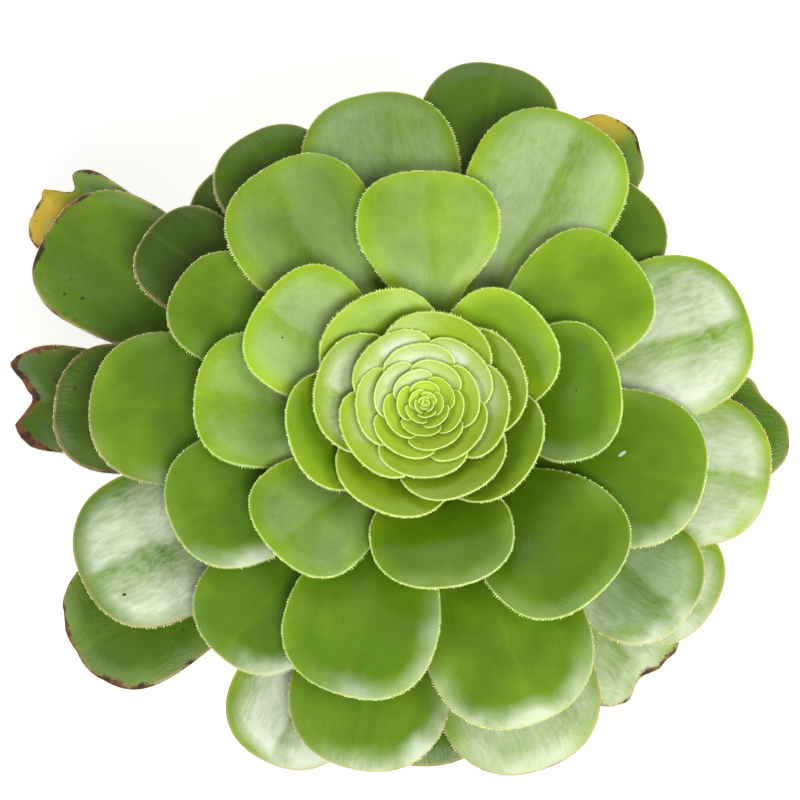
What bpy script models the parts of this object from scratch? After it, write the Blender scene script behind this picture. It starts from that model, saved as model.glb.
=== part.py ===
"""A potted aeonium: a rosette of spoon-shaped leaves round a small heart, on a bare stem in a terracotta pot.

Metres, +Z up. The origin is the middle of the pot's underside. The leaves are numbered by their place in one
golden-angle spiral, from 0 at the edge of the heart outward and down. A number that is missing is a leaf
that has dropped.
"""

import math
import random

import bmesh
import bpy

MM = 0.001

# Pot: radii outside, and heights above its underside
POT_HEIGHT = 115 * MM
POT_BASE_RADIUS = 43 * MM
POT_BODY_RADIUS = 60 * MM
POT_RIM_RADIUS = 64 * MM
POT_RIM_HEIGHT = 23 * MM
POT_WALL = 5 * MM
POT_FLOOR = 7 * MM
POT_EDGE = 1.5 * MM
DRAIN_RADIUS = 5 * MM
DRAIN_PITCH_RADIUS = 24 * MM
DRAIN_HOLES = 3
POT_SIDES = 48

# Soil
SOIL_LEVEL = 103 * MM
SOIL_HEAVE = 1.6 * MM
HOLE_DEPTH = 48 * MM
SEED = 7
CLEARANCE = 0.3 * MM

# Stem: upright in the soil, then bent over to the rosette's axis
STEM_RADIUS = 9.6 * MM
CROWN_TAPER = 9 * MM
STEM_FOOT = (5 * MM, -4 * MM)
STEM_RING = 2.2 * MM
STEM_SIDES = 28
SCAR_RELIEF = 0.45 * MM
SCAR_PITCH = 13 * MM

# Rosette: the crown that the leaves stand on, and how they rise from it
TOP = 215 * MM
CROWN_RADIUS = 11 * MM
CROWN_DROP = 24 * MM
SEAT_STEP = 0.85 * MM
DOME_LEAVES = 14
DOME_SPREAD = 19.1
FIRST_TURN = 80.0
SPIRAL_TURN = -137.84
TIP_DROP = 0.45 * MM
TIP_DROOP = 0.010 * MM
ARCH = 17.0
INNER_ARCH = 13.0
INNER_SPAN = 12.0

# Blade: the rim's thickness and the base's width are shares, and WRAP is the most, in radians, that half a
# blade reaches round the axis
BLADE = 1.7 * MM
RIM_SHARE = 0.52
BASE_SHARE = 0.22
CAP_SHARE = 0.44
YOUNG_CAP_SHARE = 0.30
WRAP = 0.84
ROUNDNESS = 2.5
YOUNG_ROUNDNESS = 3.0
YOUNG_UNTIL = 11
GROWN_SHAPE_FROM = 20
SWELL = 1.3
VALLEY = 1.2 * MM
BLADE_GRID = (8, 4)

# Heart: the small leaves, fused on the tip of the shoot
HEART_LEAVES = 19
HEART_SEAT_RADIUS = 7.47 * MM
HEART_RISE = 13 * MM
HEART_SEAT_SPAN = 13.0
HEART_RISE_SPAN = 11.0
HEART_REACH = 26.5 * MM
HEART_REACH_POWER = 1.25
HEART_REACH_LEAVES = 27.0
HEART_HOLLOW = 2 * MM
HEART_BLADE = 1.0 * MM
HEART_ROOT = 0.55
HEART_GRID = (4, 4)
HEART_SIDES = 20
HEART_TURN = -4.0

# Leaf number: degrees off the spiral, reach from the axis and width, both in millimetres
LEAVES = {
    0: (-3, 27, 38), 1: (-5, 29.3, 36), 2: (4, 32, 40), 3: (-2, 30, 36), 4: (-4, 34, 37),
    5: (14, 36.8, 41), 6: (-3, 35.6, 40), 7: (-0.5, 40.3, 38), 8: (-18, 43, 39), 9: (-2, 53, 43),
    10: (4, 57.5, 41), 11: (4, 57, 43), 12: (-2, 60, 38), 13: (1, 73, 43), 14: (3, 73, 45),
    15: (3, 67, 41), 16: (2, 77, 41.5), 17: (-3, 85.5, 45), 18: (3.5, 89, 45), 19: (4, 83.5, 48),
    20: (1, 80, 41), 21: (-2.5, 103, 48), 22: (2, 95, 49), 23: (1, 84, 34), 24: (7, 100.5, 50),
    25: (-4, 91.5, 40), 26: (3.5, 103, 48), 27: (4.5, 95.5, 40), 28: (-3.5, 99, 47), 29: (5, 96.7, 40),
    30: (-6, 104, 47), 31: (-6, 105, 37), 32: (1.5, 103, 47), 33: (-6.5, 110.5, 47), 34: (5, 116.5, 43),
    35: (-7, 107, 48), 36: (-14, 104, 33), 38: (3, 109, 39), 40: (1, 100.5, 40), 41: (-13, 112, 40),
    42: (8.5, 116.5, 34), 43: (-3, 99.5, 43), 44: (-8, 106, 38), 45: (3, 110, 37), 46: (-7, 122.5, 44),
    48: (8.5, 101.5, 40), 49: (-15.7, 135, 46), 54: (-23.4, 127.5, 34), 57: (2.9, 146, 31),
}

# Leaves with a narrower foot than the rest, and the power that stands in for SWELL
NECKS = {5: 1.9, 8: 2.1, 11: 1.7, 13: 2.6, 18: 1.9, 21: 1.9}

# Old leaves whose sides have curled up, and how far
CURLS = {42: 3 * MM, 45: 2 * MM, 54: 5 * MM, 57: 4 * MM}

# Old leaves with bites out of the rim: place across (-1 to 1), spread, and depth as a share of the length
BITES = {
    42: ((0.8, 0.3, 0.03), (-0.7, 0.3, 0.05)),
    45: ((-0.65, 0.3, 0.05), (0.9, 0.35, 0.04)),
    48: ((0.05, 0.3, 0.05), (-0.4, 0.15, 0.02)),
    54: ((0.72, 0.28, -0.05), (0, 0.28, 0.045)),
    57: ((0.45, 0.2, 0.05), (0.15, 0.12, -0.02)),
}

# Colours: base colour, roughness
YOUNG_GREEN = ((0.42, 0.58, 0.08, 1), 0.42)
LEAF_GREEN = ((0.16, 0.32, 0.03, 1), 0.40)
OLD_GREEN = ((0.09, 0.17, 0.03, 1), 0.45)
BARK = ((0.24, 0.17, 0.09, 1), 0.85)
EARTH = ((0.05, 0.032, 0.02, 1), 0.95)
TERRACOTTA = ((0.56, 0.22, 0.10, 1), 0.88)
GROWN_FROM = 9
OLD_FROM = 31


def clear_scene():
    """Removes whatever the scene holds."""
    for thing in list(bpy.data.objects):
        bpy.data.objects.remove(thing, do_unlink=True)


def new_collection(name):
    """A collection in the scene."""
    collection = bpy.data.collections.new(name)
    bpy.context.scene.collection.children.link(collection)
    return collection


def new_material(name, look):
    """A plain Principled material."""
    colour, roughness = look
    material = bpy.data.materials.new(name)
    material.use_nodes = True
    shader = material.node_tree.nodes["Principled BSDF"]
    shader.inputs["Base Color"].default_value = colour
    shader.inputs["Roughness"].default_value = roughness
    shader.inputs["Metallic"].default_value = 0.0
    material.diffuse_color = colour
    return material


def new_object(name, mesh, collection, material):
    """An object with its material, smooth but for its sharp edges."""
    thing = bpy.data.objects.new(name, mesh)
    collection.objects.link(thing)
    mesh.materials.clear()
    mesh.materials.append(material)
    return thing


def settle(thing):
    """Turns an object's modifiers into a plain mesh."""
    graph = bpy.context.evaluated_depsgraph_get()
    mesh = bpy.data.meshes.new_from_object(thing.evaluated_get(graph))
    thing.modifiers.clear()
    thing.data = mesh
    return mesh


def arc(x, z, radius, start, end, steps=2):
    """Points on a rounded corner, centred on (x, z), between two angles in degrees."""
    angles = [math.radians(start + (end - start) * i / steps) for i in range(steps + 1)]
    return [(x + radius * math.cos(a), z + radius * math.sin(a)) for a in angles]


def turned(name, profile, sides, collection, material):
    """A profile of (radius, height) points turned round the Z axis."""
    mesh = bpy.data.meshes.new(name)
    points = [(radius, 0, height) for radius, height in profile]
    edges = [(i, i + 1) for i in range(len(points) - 1)]
    mesh.from_pydata(points, edges, [])
    thing = new_object(name, mesh, collection, material)
    screw = thing.modifiers.new("turn", "SCREW")
    screw.steps = sides
    screw.render_steps = sides
    screw.use_merge_vertices = True
    screw.merge_threshold = 0.00001
    screw.use_smooth_shade = True
    return thing


def inner_radius(height):
    """The radius of the pot's inside at a height."""
    lean = (POT_BODY_RADIUS - POT_BASE_RADIUS) / (POT_HEIGHT - POT_RIM_HEIGHT)
    return POT_BASE_RADIUS - POT_WALL + lean * height


def make_pot(collection, cutters, material):
    """A tapered pot with a rim band and drain holes in its floor."""
    band = POT_HEIGHT - POT_RIM_HEIGHT
    edge = POT_EDGE
    mouth = inner_radius(POT_HEIGHT)
    profile = [(0, POT_FLOOR), (inner_radius(POT_FLOOR), POT_FLOOR)]
    profile += arc(mouth + edge, POT_HEIGHT - edge, edge, 180, 90)
    profile += arc(POT_RIM_RADIUS - edge, POT_HEIGHT - edge, edge, 90, 0)
    profile += arc(POT_RIM_RADIUS - edge, band + edge, edge, 0, -90)
    profile += [(POT_BODY_RADIUS, band)]
    profile += arc(POT_BASE_RADIUS - edge, edge, edge, 0, -90)
    profile += [(0, 0)]
    pot = turned("pot", profile, POT_SIDES, collection, material)
    for index in range(DRAIN_HOLES):
        turn = math.tau * index / DRAIN_HOLES + math.pi / 2
        bpy.ops.mesh.primitive_cylinder_add(vertices=20, radius=DRAIN_RADIUS, depth=3 * POT_FLOOR)
        drill = bpy.context.object
        drill.name = f"drain_drill_{index}"
        drill.location = (DRAIN_PITCH_RADIUS * math.cos(turn), DRAIN_PITCH_RADIUS * math.sin(turn), 0)
        for owner in list(drill.users_collection):
            owner.objects.unlink(drill)
        cutters.objects.link(drill)
        drill.hide_render = True
        drill.display_type = "WIRE"
        cut = pot.modifiers.new(f"drain {index}", "BOOLEAN")
        cut.object = drill
    return pot


def make_soil(collection, material):
    """The soil that fills the pot, gently heaved on top, with a plain hole for the stem."""
    hole = STEM_RADIUS + CLEARANCE
    top = inner_radius(SOIL_LEVEL) - CLEARANCE
    low = POT_FLOOR + CLEARANCE
    rings = [hole + (top - hole) * (i / 8) for i in range(9)]
    profile = [(0, SOIL_LEVEL - HOLE_DEPTH), (hole, SOIL_LEVEL - HOLE_DEPTH)]
    profile += [(radius, SOIL_LEVEL) for radius in rings]
    profile += [(inner_radius(low) - CLEARANCE, low), (0, low)]
    soil = turned("soil", profile, POT_SIDES, collection, material)
    draw = random.Random(SEED)
    waves = [(draw.uniform(-0.16, 0.16), draw.uniform(-0.16, 0.16), draw.uniform(0, 6.3)) for _ in range(7)]
    for vertex in settle(soil).vertices:
        x, y, z = vertex.co
        radius = math.hypot(x, y)
        if z > SOIL_LEVEL - MM:
            heave = sum(math.sin((a * x + b * y) / MM + c) for a, b, c in waves) / len(waves)
            calm = min(1, (top - radius) / (6 * MM)) * min(1, (radius - hole) / (6 * MM))
            vertex.co.z += SOIL_HEAVE * heave * calm
        if z > low + MM:
            shift = max(0.0, min(1.0, (top - radius) / (top - hole)))
            vertex.co.x += STEM_FOOT[0] * shift
            vertex.co.y += STEM_FOOT[1] * shift
    return soil


def seat(number):
    """Radius and height of a leaf's seat on the crown, or in the heart for numbers under 0."""
    if number < 0:
        rise = HEART_RISE * (1 - math.exp(number / HEART_RISE_SPAN))
        return HEART_SEAT_RADIUS * math.exp(number / HEART_SEAT_SPAN), TOP - CROWN_DROP + rise
    short = max(DOME_LEAVES - number, 0) / DOME_SPREAD
    return CROWN_RADIUS * math.sqrt(1 - short * short), TOP - CROWN_DROP - SEAT_STEP * number


def make_stem(collection, material):
    """The bare stem with its spiral leaf scars, and the crown that the leaves stand on."""
    foot = SOIL_LEVEL - HOLE_DEPTH + CLEARANCE
    crown_low = seat(max(LEAVES) + 3)[1]
    heights = [foot, SOIL_LEVEL - 10 * MM]
    while heights[-1] < crown_low - STEM_RING:
        heights.append(heights[-1] + STEM_RING)
    profile = [(0, foot)]
    for z in heights:
        swell = max(0.0, 1 - (crown_low - z) / CROWN_TAPER)
        profile.append((STEM_RADIUS + (CROWN_RADIUS - STEM_RADIUS) * swell * swell, z))
    profile += [seat(number) for number in range(max(LEAVES), DOME_LEAVES, -8)]
    profile += [seat(number) for number in range(DOME_LEAVES, -1, -2)]
    profile += [(0, seat(0)[1])]
    stem = turned("stem", profile[::-1], STEM_SIDES, collection, material)
    bend_low = SOIL_LEVEL + 2 * MM
    for vertex in settle(stem).vertices:
        x, y, z = vertex.co
        radius = math.hypot(x, y)
        bare = min(max(z - bend_low, 0) / (4 * MM), max(crown_low - z, 0) / (4 * MM), 1)
        if radius > MM:
            turn = math.atan2(y, x)
            climb = math.tau * z / SCAR_PITCH
            scar = SCAR_RELIEF * bare * math.cos(3 * turn + climb) * math.cos(5 * turn - climb)
            vertex.co.x += x / radius * scar
            vertex.co.y += y / radius * scar
        rise = max(0.0, min(1.0, (z - bend_low) / (crown_low - bend_low)))
        shift = 1 - rise * rise * (3 - 2 * rise)
        vertex.co.x += STEM_FOOT[0] * shift
        vertex.co.y += STEM_FOOT[1] * shift
    return stem


def heart_reach(number):
    """How far a heart leaf's tip is from the axis."""
    return HEART_REACH * (1 + number / HEART_REACH_LEAVES) ** HEART_REACH_POWER


def tip_height(number):
    """Height of a leaf's tip: the young stand highest and the old droop."""
    if number < 0:
        return TOP - HEART_HOLLOW * (1 - math.exp(number / INNER_SPAN))
    return TOP - TIP_DROP * number - TIP_DROOP * number * number


def midrib(number, reach):
    """A leaf's midrib, an arc from its seat to its tip: a function of the share t of its length, and that length."""
    root_radius, root_height = seat(number)
    if number < 0:
        arch = math.radians((ARCH + INNER_ARCH) * math.exp(number / DOME_LEAVES))
        root_radius *= HEART_ROOT
    else:
        arch = math.radians(ARCH + INNER_ARCH * math.exp(-number / INNER_SPAN))
        root_radius += CLEARANCE
    rise = tip_height(number) - root_height
    chord = math.hypot(reach - root_radius, rise)
    start = math.atan2(rise, reach - root_radius) + arch
    bend_radius = chord / (2 * math.sin(arch))

    def point(t):
        slope = start - 2 * arch * t
        radius = root_radius + bend_radius * (math.sin(start) - math.sin(slope))
        return radius, root_height + bend_radius * (math.cos(slope) - math.cos(start))

    return point, 2 * bend_radius * arch


def outline(number, width, length):
    """Where a leaf's rounded end begins, as a share of its length, and how square that end is."""
    youth = max(0.0, min(1.0, (GROWN_SHAPE_FROM - number) / (GROWN_SHAPE_FROM - YOUNG_UNTIL)))
    cap = CAP_SHARE + (YOUNG_CAP_SHARE - CAP_SHARE) * youth
    return max(0.5, 1 - cap * width / length), ROUNDNESS + (YOUNG_ROUNDNESS - ROUNDNESS) * youth


def blade_mesh(name, number, reach, width, grid):
    """A leaf pointing along +X: a grid laid on the surface that its midrib sweeps round the axis.

    Rows bend toward the rounded tip, columns spread from the narrow base, and the vertex group thins the rim.
    """
    point, length = midrib(number, reach)
    shoulder, roundness = outline(number, width, length)
    curl = CURLS.get(number, 0.0)
    mesh = bpy.data.meshes.new(name)
    sheet = bmesh.new()
    bmesh.ops.create_grid(sheet, x_segments=grid[0], y_segments=grid[1], size=1)
    weights = []
    for vertex in sheet.verts:
        across = math.sin(math.pi / 2 * max(-1.0, min(1.0, vertex.co.x)))
        along = (vertex.co.y + 1) / 2
        tip = shoulder + (1 - shoulder) * max(0.0, 1 - abs(across) ** roundness) ** (1 / roundness)
        for place, spread, depth in BITES.get(number, ()):
            tip -= depth * math.exp(-((across - place) / spread) ** 2)
        t = along * tip
        radius, height = point(t)
        grow = min(1.0, t / shoulder)
        swell = BASE_SHARE + (1 - BASE_SHARE) * (grow * grow * (3 - 2 * grow)) ** NECKS.get(number, SWELL)
        turn = -across * min(width / 2 * swell, WRAP * radius) / radius
        height += curl * across * across * along * along
        if number >= GROWN_FROM:
            height -= VALLEY * (1 - abs(across)) * grow
        vertex.co = (radius * math.cos(turn), radius * math.sin(turn), height)
        rim = max(abs(across) ** 4, along ** 6)
        base = (1 - along) ** 4
        weights.append(1 - (1 - RIM_SHARE) * min(1.0, rim + 0.5 * base))
    bmesh.ops.triangulate(sheet, faces=sheet.faces[:], quad_method="SHORT_EDGE")
    sheet.to_mesh(mesh)
    sheet.free()
    mesh.shade_smooth()
    return mesh, weights


def make_leaf(name, number, size, grid, thick, collection, material):
    """A leaf node, its sheet thickened downward."""
    reach, width = size
    mesh, weights = blade_mesh(name, number, reach, width, grid)
    leaf = new_object(name, mesh, collection, material)
    group = leaf.vertex_groups.new(name="thick")
    for index, weight in enumerate(weights):
        group.add([index], weight, "REPLACE")
    solid = leaf.modifiers.new("blade", "SOLIDIFY")
    solid.thickness = thick
    solid.offset = -1
    solid.vertex_group = "thick"
    return leaf


def keep_main_body(mesh):
    """Drops the pinhead scraps and hollows that fusing the small leaves leaves behind."""
    solid = bmesh.new()
    solid.from_mesh(mesh)
    bodies = []
    unseen = set(solid.faces)
    while unseen:
        body = []
        front = [unseen.pop()]
        while front:
            face = front.pop()
            body.append(face)
            near = {other for edge in face.edges for other in edge.link_faces} & unseen
            unseen -= near
            front.extend(near)
        bodies.append(body)
    bodies.sort(key=len)
    for scrap in bodies[:-1]:
        bmesh.ops.delete(solid, geom=scrap, context="FACES")
    solid.to_mesh(mesh)
    solid.free()


def make_heart(collection, material):
    """The shoot's tip with its small leaves fused on, each smaller and steeper than the last."""
    sprouts = new_collection("heart leaves")
    low = seat(0)[1] + CLEARANCE
    profile = [(0, seat(-HEART_LEAVES)[1] + HEART_BLADE)]
    profile += [seat(number) for number in range(-HEART_LEAVES, 0, 2)]
    profile += [(seat(0)[0] - CLEARANCE, low), (0, low)]
    heart = turned("heart", profile, HEART_SIDES, collection, material)
    for number in range(-1, -HEART_LEAVES - 1, -1):
        reach = heart_reach(number)
        size = (reach, 2 * WRAP * reach)
        leaf = make_leaf(f"sprout{number}", number, size, HEART_GRID, HEART_BLADE, sprouts, material)
        leaf.rotation_euler.z = math.radians(FIRST_TURN + HEART_TURN + SPIRAL_TURN * number)
    join = heart.modifiers.new("sprouts", "BOOLEAN")
    join.operation = "UNION"
    join.operand_type = "COLLECTION"
    join.collection = sprouts
    keep_main_body(settle(heart))
    for leaf in list(sprouts.objects):
        bpy.data.objects.remove(leaf, do_unlink=True)
    bpy.data.collections.remove(sprouts)
    return heart


def main():
    clear_scene()
    plant = new_collection("potted aeonium")
    cutters = new_collection("cutters")
    young = new_material("young_leaf_green", YOUNG_GREEN)
    grown = new_material("leaf_green", LEAF_GREEN)
    old = new_material("old_leaf_green", OLD_GREEN)
    make_pot(plant, cutters, new_material("terracotta", TERRACOTTA))
    make_soil(plant, new_material("earth", EARTH))
    make_stem(plant, new_material("bark", BARK))
    make_heart(plant, young)
    for number, (off, reach, width) in LEAVES.items():
        material = young if number < GROWN_FROM else grown if number < OLD_FROM else old
        size = (reach * MM, width * MM)
        leaf = make_leaf(f"leaf_{number:02d}", number, size, BLADE_GRID, BLADE, plant, material)
        leaf.rotation_euler.z = math.radians(FIRST_TURN + SPIRAL_TURN * number + off)


main()
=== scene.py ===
"""Potted aeonium: the finished look of the plant, its soil and its pot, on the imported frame.

The leaves follow the same rule as the solids that they replace: each is a sheet on the surface that its
midrib sweeps round the rosette's axis, so that leaves lie over each other without crossing.
"""

import math
import random

import bpy
from bpy.props import FloatProperty, FloatVectorProperty, IntProperty, PointerProperty
from mathutils import Matrix, Vector


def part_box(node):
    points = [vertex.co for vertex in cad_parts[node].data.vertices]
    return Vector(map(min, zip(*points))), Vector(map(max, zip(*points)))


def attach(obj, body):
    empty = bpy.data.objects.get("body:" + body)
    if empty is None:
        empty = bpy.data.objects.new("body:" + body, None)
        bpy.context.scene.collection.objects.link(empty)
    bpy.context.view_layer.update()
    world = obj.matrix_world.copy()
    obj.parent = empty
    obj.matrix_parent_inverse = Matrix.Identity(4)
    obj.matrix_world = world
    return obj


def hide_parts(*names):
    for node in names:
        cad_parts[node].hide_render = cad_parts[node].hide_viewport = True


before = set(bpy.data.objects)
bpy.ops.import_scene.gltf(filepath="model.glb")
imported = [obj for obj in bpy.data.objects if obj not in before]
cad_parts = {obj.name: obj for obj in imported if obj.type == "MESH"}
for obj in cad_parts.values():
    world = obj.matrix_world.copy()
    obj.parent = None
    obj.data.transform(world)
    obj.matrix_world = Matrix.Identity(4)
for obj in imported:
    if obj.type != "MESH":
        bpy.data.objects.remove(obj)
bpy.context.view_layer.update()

bl_info = {
    "name": "Potted aeonium",
    "version": (1, 0, 0),
    "blender": (4, 5, 0),
    "location": "View3D > Sidebar > Aeonium",
    "description": "Builds the leaves, heart, stem, soil and pot of a potted aeonium on its frame",
    "category": "Object",
}

MM = 0.001

# The rosette's rule, as in the solids: the crown and the seats on it
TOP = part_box("heart")[1][2]
CROWN_RADIUS = 11 * MM
CROWN_DROP = 24 * MM
CROWN_TAPER = 9 * MM
SEAT_STEP = 0.85 * MM
SEAT_GAP = 0.3 * MM
DOME_LEAVES = 14
DOME_SPREAD = 19.1
FIRST_TURN = 80.0
SPIRAL_TURN = -137.84

# How high a leaf's tip stands and how far its midrib bends, by its number
TIP_DROP = 0.45 * MM
TIP_DROOP = 0.010 * MM
ARCH = 17.0
INNER_ARCH = 13.0
INNER_SPAN = 12.0

# A leaf's outline, by its number
BASE_SHARE = 0.22
CAP_SHARE = 0.44
YOUNG_CAP_SHARE = 0.30
SHORTEST_SHOULDER = 0.5
WRAP = 0.84
ROUNDNESS = 2.5
YOUNG_ROUNDNESS = 3.0
YOUNG_UNTIL = 11
GROWN_SHAPE_FROM = 20
SWELL = 1.3

# The leaf numbers at which the slots change
GROWN_FROM = 9
OLD_FROM = 31

# Relief that only the finished leaves have
VALLEY = 1.2 * MM
FOLD_SOFTNESS = 0.03
DENT = 1.4 * MM
DENTS_ACROSS = 1.5
DENTS_ALONG = 3.2
ROLL = 1.5 * MM
ROLL_WIDTH = 10 * MM
ROLL_FROM = 8
ROLL_SPAN = 6
WAVE = 0.15 * MM
OLD_WAVE = 0.75 * MM
WAVES_ALONG = 9
WORN_FROM = 24
WORN_SPAN = 20
RAGGED = 0.05
RAGGED_FROM = 0.40
FLESH_WIDTH = 9 * MM

# How thin the small inner leaves are, as shares of a grown one
SMALLEST = 0.25
SMALLEST_RIM = 0.4
SMALLEST_HAIR = 0.45
CLOSEST_HAIRS = 0.5
SHRINK_SPAN = 30

# The sheets that the leaves are made of, across and along, and their seeds
HEART_GRID = (27, 33)
YOUNG_GRID = (33, 37)
GROWN_GRID = (37, 45)
ON_RIM = 0.9999
LEAST_PULL = 0.01
WELD = 0.01 * MM
FIRST_SEED = 100
BLADE_TREE = "leaf blade"

# Rim hairs: where along the leaf they begin, and their sizes as shares of the fringe's length
FRINGE_FROM = 0.35
HAIR_SIDES = 4
HAIR_FOOT = 0.42
HAIR_LENGTH = 1.25
HAIR_SUNK = 0.25
HAIR_SIZES = (0.45, 1.15)
HAIR_SWAY = ((-0.5, -0.5, -0.4), (0.5, 0.5, 0.6))

# Painted light on the leaves: the sides that take the painted pale crescents and the painted shade, in
# degrees, how much, and the heart's painted glow
SHEEN_TURN = 75.0
PLAIN_RIM_HIGHLIGHT = 0.15
HEART_SHADE_TURN = 50.0
HEART_SHADE = 0.45
HEART_SHADE_SPAN = 20
HEART_PAINTED_GLOW = 0.3

# The finish of a leaf: its age from 0 to 1, patterns in features a metre, and widths in millimetres
YOUNGEST = 26
AGE_SPAN = 84
CLOUDS = 45.0
PATCHES = 75.0
BLOTCHES = 170.0
GRAINS = 1400.0
DOTS = 260.0
RIM_ZONE_WIDTH = 16
CRESCENT_WIDTH = 11

# The heart's small leaves
HEART_LEAVES = 33
HEART_SEAT_RADIUS = 7.47 * MM
HEART_RISE = 13 * MM
HEART_SEAT_SPAN = 13.0
HEART_RISE_SPAN = 11.0
HEART_REACH = 26.5 * MM
HEART_REACH_POWER = 1.6
HEART_REACH_LEAVES = 36.0
HEART_HOLLOW = 2 * MM
HEART_ROOT = 0.55
HEART_TURN = -4.0
BUD_DEPTH = 0.6 * MM
BUD = ((0.35 * MM, 0.3 * MM), (0.8 * MM, 2 * MM), (1.1 * MM, 6 * MM))
HEART_CORE = 0.6 * MM
HEART_CORE_SIDES = 32

# The stem, the soil and the pot: sizes as in the solids, and the finer relief
STEM_FOOT = (5 * MM, -4 * MM)
STEM_RADIUS = 9.6 * MM
STEM_RING = 0.7 * MM
STEM_SIDES = 96
SCAR_PITCH = 13 * MM
SCAR_FADE = 4 * MM
SCAR_ROUGHNESS = 0.12
STEM_CALM = 2 * MM
CROWN_EXTRA = 3
SOIL_LEVEL = 103 * MM
SOIL_HEAVE = 1.6 * MM
SOIL_CALM = 6 * MM
SOIL_WAVES = 7
SOIL_WAVE_TURN = 0.16
SOIL_WAVE_START = 6.3
SOIL_LUMPS = 2.4 * MM
SOIL_SKIN = 3 * MM
CRUMB_JOLT = 0.28
SMALLEST_CRUMB = 0.25
CRUMB_FLATNESS = 0.75
SOIL_SEED = 7
SOIL_RINGS = 40
SOIL_SIDES = 128
HOLE_DEPTH = 48 * MM
POT_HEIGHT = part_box("pot")[1][2]
POT_BASE_RADIUS = 43 * MM
POT_BODY_RADIUS = 60 * MM
POT_RIM_RADIUS = 64 * MM
POT_RIM_HEIGHT = 23 * MM
POT_WALL = 5 * MM
POT_FLOOR = 7 * MM
POT_EDGE = 1.5 * MM
POT_SIDES = 192
POT_WOBBLES = (0.0022, 0.0012)
ARC_STEPS = 5
RIM_BULGE = 0.25 * MM
BAND_STEP = 0.6 * MM
DRAIN_RADIUS = 5 * MM
DRAIN_PITCH_RADIUS = 24 * MM
DRAIN_HOLES = 3
DRILL_SIDES = 32

# The stage: floor, sky and camera, and each light's name, place, size, power and tone
FLOOR_RADIUS = 3.0
FLOOR_SIDES = 96
FLOOR_GLOW = 0.27
FLOOR_CLOUDS = 0.95
SKY = (0.94, 0.97, 1.0)
SKY_STRENGTH = 0.21
SENSOR = 36
SHIFT = (-0.03125, 0.0025)
LIGHTS = (
    ("front", (0.28, -0.92, 1.60), 0.8, 23, (1.0, 0.99, 0.96)),
    ("right", (1.28, -0.30, 1.15), 0.9, 14, (1.0, 0.98, 0.95)),
    ("left", (-1.25, -0.10, 1.15), 0.9, 9, (0.98, 0.99, 1.0)),
    ("back", (-0.10, 1.30, 1.10), 0.9, 6, (1.0, 1.0, 1.0)),
)

# Leaf number: degrees off the spiral, reach from the axis and width, both in millimetres
LEAVES = {
    0: (-3, 27, 38), 1: (-5, 29.3, 36), 2: (4, 32, 40), 3: (-2, 30, 36), 4: (-4, 34, 37),
    5: (14, 36.8, 41), 6: (-3, 35.6, 40), 7: (-0.5, 40.3, 38), 8: (-18, 43, 39), 9: (-2, 53, 43),
    10: (4, 57.5, 41), 11: (4, 57, 43), 12: (-2, 60, 38), 13: (1, 73, 43), 14: (3, 73, 45),
    15: (3, 67, 41), 16: (2, 77, 41.5), 17: (-3, 85.5, 45), 18: (3.5, 89, 45), 19: (4, 83.5, 48),
    20: (1, 80, 41), 21: (-2.5, 103, 48), 22: (2, 95, 49), 23: (1, 84, 34), 24: (7, 100.5, 50),
    25: (-4, 91.5, 40), 26: (3.5, 103, 48), 27: (4.5, 95.5, 40), 28: (-3.5, 99, 47), 29: (5, 96.7, 40),
    30: (-6, 104, 47), 31: (-6, 105, 37), 32: (1.5, 103, 47), 33: (-6.5, 110.5, 47), 34: (5, 116.5, 43),
    35: (-7, 107, 48), 36: (-14, 104, 33), 38: (3, 109, 39), 40: (1, 100.5, 40), 41: (-13, 112, 40),
    42: (8.5, 116.5, 34), 43: (-3, 99.5, 43), 44: (-8, 106, 38), 45: (3, 110, 37), 46: (-7, 122.5, 44),
    48: (8.5, 101.5, 40), 49: (-15.7, 135, 46), 54: (-23.4, 127.5, 34), 57: (2.9, 146, 31),
}

# Leaves with a narrower foot than the rest, and the power that stands in for SWELL
NECKS = {5: 1.9, 8: 2.1, 11: 1.7, 13: 2.6, 18: 1.9, 21: 1.9}

# Old leaves whose sides have curled up, and how far
CURLS = {42: 3 * MM, 45: 2 * MM, 54: 5 * MM, 57: 4 * MM}

# Old leaves with bites out of the rim: place across (-1 to 1), spread, and depth as a share of the length,
# less than 0 where the rim stands out
NO_BITE = (0.0, 1.0, 0.0)
BITES = {
    42: ((0.8, 0.3, 0.03), (-0.7, 0.3, 0.05)),
    45: ((-0.65, 0.3, 0.05), (0.9, 0.35, 0.04)),
    48: ((0.05, 0.3, 0.05), (-0.4, 0.15, 0.02)),
    54: ((0.72, 0.28, -0.05), (0, 0.28, 0.045)),
    57: ((0.45, 0.2, 0.05), (0.15, 0.12, -0.02)),
}

# Marks of age and of painted light by leaf number, mostly from 0 to 1: waxy bloom mixed with painted sheen,
# painted highlights on the rim that faces the light, the leaf's own darker tone mixed with painted shade
# (less than 0 for a paler leaf, with painted light), browned rim, dark specks and yellowing
BLOOM_AND_SHEEN = {
    -16: 0.7, -13: 0.4, -11: 0.8, -8: 0.9, -6: 0.4, -5: 1.0, -3: 1.0, -2: 0.3, -1: 0.3, 2: 0.6, 10: 0.3,
    12: 0.15, 13: 0.12, 15: 0.15, 18: 0.12, 21: 0.4, 24: 1.0, 26: 0.25, 27: 0.4, 32: 0.9, 33: 0.9, 35: 0.8,
    38: 1.2, 40: 0.8, 48: 0.9,
}
RIM_HIGHLIGHTS = {
    12: 0.15, 13: 0.2, 14: 0.1, 15: 0.3, 17: 0.45, 18: 0.9, 19: 0.45, 20: 1.0, 21: 0.6, 22: 0.75, 23: 1.1,
    24: 0.8, 25: 0.9, 26: 0.3, 27: 0.9, 28: 1.6, 30: 0.8, 32: 0.8, 33: 0.5, 35: 0.7, 38: 0.8, 40: 0.8,
    41: 0.7, 46: 0.1, 48: 0.8, 49: 0.9,
}
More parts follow.
